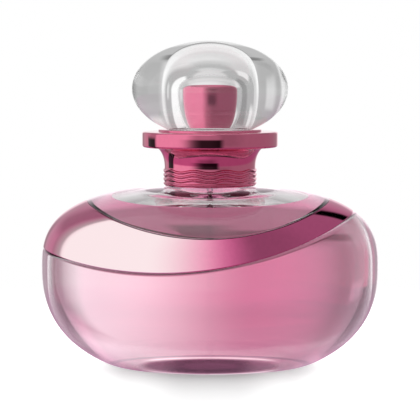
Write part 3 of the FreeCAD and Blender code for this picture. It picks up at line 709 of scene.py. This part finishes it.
def clear_material(name, ior, tint=(1.0, 1.0, 1.0), absorption=None, painted_light=False):
    """Clear solid or liquid: refracting surface with faint draw lines, and coloured depth."""
    material, nodes = new_material(name)
    lines = nodes.noise(70.0, 2.0, (0.35, 0.35, 1.0))
    # For the bottle's glass, the colour is painted shade over the base, and painted highlights are added to
    # the surface.
    colour = base_shade(nodes) if painted_light else (*tint, 1.0)
    surface = nodes.add(
        "ShaderNodeBsdfGlass", Color=colour, Roughness=0.0, IOR=ior,
        Normal=nodes.bump(lines, 0.05, 0.0002),
    ).outputs[0]
    if painted_light:
        surface = nodes.add("ShaderNodeAddShader", in_0=surface, in_1=painted_outer_highlights(nodes)).outputs[0]
    out = nodes.add("ShaderNodeOutputMaterial", Surface=surface)
    if absorption:
        colour, density = absorption
        depth = nodes.add("ShaderNodeVolumeAbsorption", Color=(*colour, 1.0), Density=density)
        nodes.tree.links.new(depth.outputs[0], out.inputs["Volume"])
    return material


def metal_material(name, tint, roughness, painted_highlight_colour=None, painted_shades=()):
    """Polished metal under coloured lacquer. A painted highlight turns the lacquer to the given light
    colour where it mirrors the bright panel at the left. Painted shade darkens it where it mirrors
    given panels of the room, a painted dark reflection; each panel's last value is how much of the
    lacquer's brightness is left in it."""
    material, nodes = new_material(name)
    grain = nodes.noise(900.0, 4.0)
    low = tuple(c * 0.96 for c in tint)
    colour = nodes.ramp(grain, low, tint)
    azimuth, elevation = nodes.angles(nodes.add("ShaderNodeTexCoord").outputs["Reflection"])
    # Painted highlight: the lacquer turns to the given light colour where it mirrors the bright panel at
    # the left.
    if painted_highlight_colour:
        left = nodes.math("SUBTRACT", 1.0, nodes.smooth(azimuth, -32, 14))
        near = nodes.smooth(azimuth, -125, -95)
        painted_highlight_share = nodes.math("MULTIPLY", left, nodes.range(near, 0.15, 1.0))
        colour = nodes.blend(painted_highlight_share, colour, painted_highlight_colour)
    # Painted shade: the lacquer is painted darker where it mirrors each given panel.
    for shade in painted_shades:
        mask = panel_mask(nodes, azimuth, elevation, shade)
        colour = nodes.blend(mask, colour, tuple(c * shade[-1] for c in tint))
    surface = nodes.add(
        "ShaderNodeBsdfPrincipled", Base_Color=colour, Metallic=1.0,
        Roughness=nodes.range(grain, roughness * 0.6, roughness * 1.4),
        Normal=nodes.bump(grain, 0.02, 0.0001),
    ).outputs[0]
    nodes.add("ShaderNodeOutputMaterial", Surface=surface)
    return material


def plastic_material(name, colour, roughness, speckle=0.04):
    """Moulded plastic or rubber with slight mottling and a fine moulded skin."""
    material, nodes = new_material(name)
    mottle = nodes.noise(400.0, 5.0)
    low = tuple(max(c - speckle, 0.0) for c in colour)
    high = tuple(min(c + speckle, 1.0) for c in colour)
    surface = nodes.add(
        "ShaderNodeBsdfPrincipled", Base_Color=nodes.ramp(mottle, low, high),
        Roughness=nodes.range(mottle, roughness * 0.8, roughness * 1.2),
        Normal=nodes.bump(mottle, 0.08, 0.0001),
    ).outputs[0]
    nodes.add("ShaderNodeOutputMaterial", Surface=surface)
    return material


def steel_material(name, colour, roughness):
    """Bare metal with drawing marks."""
    material, nodes = new_material(name)
    marks = nodes.noise(600.0, 3.0, (1.0, 1.0, 0.1))
    low = tuple(c * 0.85 for c in colour)
    surface = nodes.add(
        "ShaderNodeBsdfPrincipled", Base_Color=nodes.ramp(marks, low, colour),
        Metallic=1.0, Roughness=nodes.range(marks, roughness * 0.7, roughness * 1.3),
        Normal=nodes.bump(marks, 0.05, 0.0001),
    ).outputs[0]
    nodes.add("ShaderNodeOutputMaterial", Surface=surface)
    return material


def give(node, material):
    """Puts a material on a CAD node that is kept."""
    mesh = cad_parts[node].data
    mesh.materials.clear()
    mesh.materials.append(material)
    mesh.polygons.foreach_set("use_smooth", [True] * len(mesh.polygons))
    mesh.set_sharp_from_angle(angle=math.radians(NODE_SHARP_ANGLE))


# ---- studio -----------------------------------------------------------------------------------
# Each panel: azimuth start and end from the camera in degrees, how soft each of those edges is,
# lowest and highest elevation, how soft those are, and how bright it is. Later ones lie on top.
MIRRORED_LEVEL = 0.4
MIRRORED = [
    (150, -150, 10, 10, 12, 38, 6, 0.55),
    (150, -150, 10, 10, 42, 72, 5, 0.12),
    (158, -164, 3, 6, -9, 13, 4, 1.0),
    (-150, -120, 6, 3, -20, 20, 8, 0.62),
    (14, 52, 6, 18, -90, 60, 8, 0.33),
    (-140, 0, 20, 20, -90, -9, 2.5, 0.6),
    (0, 140, 20, 20, -90, -9, 2.5, 0.4),
    (-150, 150, 10, 10, -90, -50, 10, 0.3),
    (-105, 10, 3, 15, -12, 75, 2, 1.0),
    (-121, -105, 5, 5, -12, 60, 1.5, 0.5),
    (129, 146, 3, 3, 28, 55, 5, 0.0),
]
# Tint of what is mirrored from below, and the elevations between which it sets in.
MIRRORED_BELOW = (1.0, 0.52, 0.85)
MIRRORED_BELOW_FROM = (-9, -14)
SEEN_THROUGH_LEVEL = 0.46
SEEN_THROUGH = [
    (153, -158, 3, 8, -60, 70, 8, 0.66),
    (150, -150, 8, 8, 36, 50, 6, 0.47),
    (0, 359, 0.1, 0.1, 60, 95, 5, 0.7),
    (171, -163, 11, 11, 3, 26, 5, 0.86),
    (171, -163, 11, 11, -12, 3, 4, 1.0),
    (140, -140, 10, 10, -31, -11, 1.5, 0.5),
    (152, -178, 6, 3, -18.3, -13, 1.2, 0.2),
    (-179, -146, 4, 6, -15.6, -12.5, 0.8, 0.22),
    (140, -140, 10, 10, -90, -33, 3, 1.0),
    (-125, -20, 4, 12, -8, 45, 5, 1.0),
    (0, 118, 10, 5, -8, 38, 5, 0.31),
    (-8, 22, 8, 10, 3, 12, 3, 0.13),
    (134, 152, 3, 4, 12, 36, 4, 0.86),
    (-147, -136, 1.5, 4, -1, 6, 2, 0.7),
    (-130, 60, 15, 20, -90, -26, 5, 0.5),
]
SKY_LEVEL = 0.75
SKY = [
    (120, -120, 30, 30, 25, 70, 12, 3.0),
]
# The floor's glow is painted light that shapes its shadow: less of it in front, so the shadow reaches
# forward, and more to either side.
FLOOR_GLOW = 0.31
FLOOR_PAINTED_FRONT_SHADE = 0.15
FLOOR_RADIUS, FLOOR_SIDES = 0.3, 96
# Painted light: extra glow of the floor to either side, which narrows its shadow, as where it
# starts, where it is full and how much it is.
FLOOR_PAINTED_SIDE_LIGHT = [(6 * MM, 20 * MM, 0.22), (20 * MM, 34 * MM, 0.4)]

# Painted shade: parts of the mirrored room where the collar's lacquer is painted darker, as a
# painted dark reflection. The last value is the share of its brightness that is left.
COLLAR_PAINTED_SHADES = [
    (-33, 14, 14, 14, -35, 35, 8, 0.5),
    (-36, 21, 24, 6, -22, 0.5, 1.6, 0.03),
    (-129, -107, 2, 2, -35, 0, 2, 0.04),
]


def panel_mask(nodes, azimuth, elevation, panel):
    """1 inside a panel, fading to 0 over its soft edges."""
    start, end, soft_start, soft_end, low, high, soft_height, _ = panel
    width = (end - start) % 360
    from_start = nodes.math("WRAP", nodes.math("SUBTRACT", azimuth, start + width / 2), 180.0, -180.0)
    mask = nodes.smooth(from_start, -width / 2 - soft_start, -width / 2 + soft_start)
    edge = nodes.smooth(from_start, width / 2 - soft_end, width / 2 + soft_end)
    mask = nodes.math("MULTIPLY", mask, nodes.math("SUBTRACT", 1.0, edge))
    rise = nodes.smooth(elevation, low - soft_height, low + soft_height)
    fall = nodes.math("SUBTRACT", 1.0, nodes.smooth(elevation, high - soft_height, high + soft_height))
    return nodes.math("MULTIPLY", mask, nodes.math("MULTIPLY", rise, fall))


def panel_level(nodes, azimuth, elevation, base, panels):
    """Brightness of a room of one level with panels laid over each other."""
    level = base
    for panel in panels:
        mask = panel_mask(nodes, azimuth, elevation, panel)
        step = nodes.math("MULTIPLY", mask, nodes.math("SUBTRACT", panel[-1], level))
        level = nodes.math("ADD", step, level)
    return level


def make_world():
    """Light that differs with the kind of ray, as no real room's does: panels for mirrored rays,
    a backdrop for rays through clear pieces, a sky for diffuse ones, and white for the camera."""
    world = bpy.data.worlds.new("studio")
    bpy.context.scene.world = world
    world.cycles.sampling_method = "NONE"
    world.use_nodes = True
    nodes = Nodes(world.node_tree)
    azimuth, elevation = nodes.angles(nodes.add("ShaderNodeTexCoord").outputs["Generated"])
    mirrored = panel_level(nodes, azimuth, elevation, MIRRORED_LEVEL, MIRRORED)
    through = panel_level(nodes, azimuth, elevation, SEEN_THROUGH_LEVEL, SEEN_THROUGH)
    sky = panel_level(nodes, azimuth, elevation, SKY_LEVEL, SKY)
    ray = nodes.add("ShaderNodeLightPath").outputs
    level = nodes.mix(ray["Is Glossy Ray"], sky, mirrored)
    level = nodes.mix(ray["Is Transmission Ray"], level, through)
    level = nodes.mix(ray["Is Camera Ray"], level, 1.0)
    white = (1.0, 1.0, 1.0)
    below = nodes.smooth(elevation, *MIRRORED_BELOW_FROM)
    outside = nodes.math("SUBTRACT", ray["Is Glossy Ray"], ray["Is Transmission Ray"])
    colour = nodes.blend(nodes.math("MULTIPLY", below, outside), white, MIRRORED_BELOW)
    background = nodes.add("ShaderNodeBackground", Color=colour, Strength=level)
    nodes.add("ShaderNodeOutputWorld", Surface=background.outputs[0])


def make_floor():
    """Pale floor that only the camera sees, fading out round the bottle. Its glow is painted light: it
    lightens the shadow, least in front and most to either side."""
    turns = [2 * math.pi * step / FLOOR_SIDES for step in range(FLOOR_SIDES)]
    mesh = bpy.data.meshes.new("floor")
    rim = [(FLOOR_RADIUS * math.cos(t), FLOOR_RADIUS * math.sin(t), 0.0) for t in turns]
    mesh.from_pydata(rim, [], [tuple(range(FLOOR_SIDES))])
    floor = bpy.data.objects.new("floor", mesh)
    bpy.context.scene.collection.objects.link(floor)
    material, nodes = new_material("pale_floor")
    matte = nodes.add("ShaderNodeBsdfDiffuse", Color=(0.9, 0.9, 0.9, 1.0)).outputs[0]
    away = nodes.add("ShaderNodeTexCoord").outputs["Object"]
    x, y, _ = nodes.add("ShaderNodeSeparateXYZ", Vector=away).outputs
    aside = nodes.math("ABSOLUTE", x)
    # Painted shade in front and painted light to either side.
    front = nodes.smooth(nodes.math("MULTIPLY", y, -1.0), 30 * MM, 60 * MM)
    level = nodes.range(front, FLOOR_GLOW, FLOOR_GLOW - FLOOR_PAINTED_FRONT_SHADE)
    for start, full, amount in FLOOR_PAINTED_SIDE_LIGHT:
        level = nodes.math("ADD", level, nodes.math("MULTIPLY", nodes.smooth(aside, start, full), amount))
    glow = nodes.add("ShaderNodeEmission", Color=(1.0, 1.0, 1.0, 1.0), Strength=level).outputs[0]
    lit = nodes.add("ShaderNodeAddShader", in_0=matte, in_1=glow).outputs[0]
    distance = nodes.add("ShaderNodeVectorMath", {"operation": "LENGTH"}, in_0=away).outputs["Value"]
    near = nodes.math("SUBTRACT", 1.0, nodes.smooth(distance, 0.1, 0.2))
    seen = nodes.math("MULTIPLY", near, nodes.add("ShaderNodeLightPath").outputs["Is Camera Ray"])
    clear = nodes.add("ShaderNodeBsdfTransparent").outputs[0]
    surface = nodes.add("ShaderNodeMixShader", in_0=seen, in_1=clear, in_2=lit).outputs[0]
    nodes.add("ShaderNodeOutputMaterial", Surface=surface)
    mesh.materials.append(material)


def make_camera():
    """Long lens, six degrees above the table, aimed so that the bottle sits low in the frame."""
    elevation = math.radians(6.0)
    distance = 0.56
    look = Vector((0.0, 0.0, 0.026))
    aim = Vector((0.0, 0.0, 0.0421))
    data = bpy.data.cameras.new("camera")
    data.sensor_width = 36.0
    data.lens = 179.0
    data.clip_start, data.clip_end = 0.01, 20.0
    camera = bpy.data.objects.new("camera", data)
    bpy.context.scene.collection.objects.link(camera)
    camera.location = look + Vector((0, -math.cos(elevation), math.sin(elevation))) * distance
    camera.rotation_euler = (aim - camera.location).to_track_quat("-Z", "Y").to_euler()
    bpy.context.scene.camera = camera


# ---- build ------------------------------------------------------------------------------------
RASPBERRY = (0.82, 0.205, 0.34)
# The band's second colour is a painted highlight, shown where it mirrors the bright panel at the left.
BAND_RASPBERRY, BAND_PAINTED_HIGHLIGHT_COLOUR = (0.80, 0.155, 0.36), (0.97, 0.80, 0.82)
GLASS_IOR, PERFUME_IOR, ACRYLIC_IOR = 1.5, 1.40, 1.49
# The pump's clear plastic bends no light here, which real plastic does.
TUBE_IOR = 1.0
PERFUME_COLOUR, PERFUME_DENSITY = (0.867, 0.2, 0.5), 45.0
pink_metal = metal_material("pink_metal", RASPBERRY, 0.05)
# The collar's copy of the lacquer has painted shade where it mirrors given parts of the room.
collar_metal_with_painted_shade = metal_material("collar_metal_with_painted_shade", RASPBERRY, 0.05, painted_shades=COLLAR_PAINTED_SHADES)
band_metal_with_painted_highlight = metal_material("band_metal_with_painted_highlight", BAND_RASPBERRY, 0.07, painted_highlight_colour=BAND_PAINTED_HIGHLIGHT_COLOUR)
# The bottle's glass gets painted shade over its base and painted highlights on its outside.
glass = clear_material("bottle_glass", GLASS_IOR, painted_light=True)
perfume = clear_material("pink_perfume", PERFUME_IOR, absorption=(PERFUME_COLOUR, PERFUME_DENSITY))
cap_clear = clear_material("cap_acrylic", ACRYLIC_IOR)
tube_clear = clear_material("tube_clear", TUBE_IOR, (0.999, 0.997, 0.998))
white = plastic_material("white_plastic", (0.86, 0.86, 0.87), 0.35)
seal = plastic_material("soft_seal", (0.75, 0.75, 0.74), 0.55)
rubber = plastic_material("dark_rubber", (0.05, 0.05, 0.05), 0.6, 0.015)
steel = steel_material("spring_steel", (0.62, 0.62, 0.64), 0.3)
aluminium = steel_material("bare_aluminium", (0.80, 0.80, 0.82), 0.35)

make_glass(glass)
make_liquid(perfume)
make_band(band_metal_with_painted_highlight)
make_collar(collar_metal_with_painted_shade)
make_cap(cap_clear)
make_liner(white)
# Each spring: piece, node, wire radius and turns, body, joint, travel and the end that stays put.
SPRINGS = [
    ("pump_return_spring", "return_spring", 0.2 * MM, 4.5, "bottle", "stem_press", 4.1 * MM, "low"),
    ("valve_spring", "preload_spring", 0.16 * MM, 3.5, "stem", "piston_shift", 0.5 * MM, "top"),
]
for spring in SPRINGS:
    make_spring(*spring, steel)
for name, material in {
    "neck_gasket": seal,
    "crimp_ferrule": aluminium,
    "pump_housing": tube_clear,
    "pump_turret": white,
    "stem_gasket": rubber,
    "pump_stem": white,
    "pump_piston": seal,
    "check_ball": steel,
    "dip_tube": tube_clear,
    "collar_sleeve": white,
    "actuator_shell": pink_metal,
    "actuator_core": white,
    "nozzle_insert": white,
}.items():
    give(name, material)

make_world()
make_floor()
make_camera()
scene = bpy.context.scene
scene.view_settings.view_transform = "Standard"
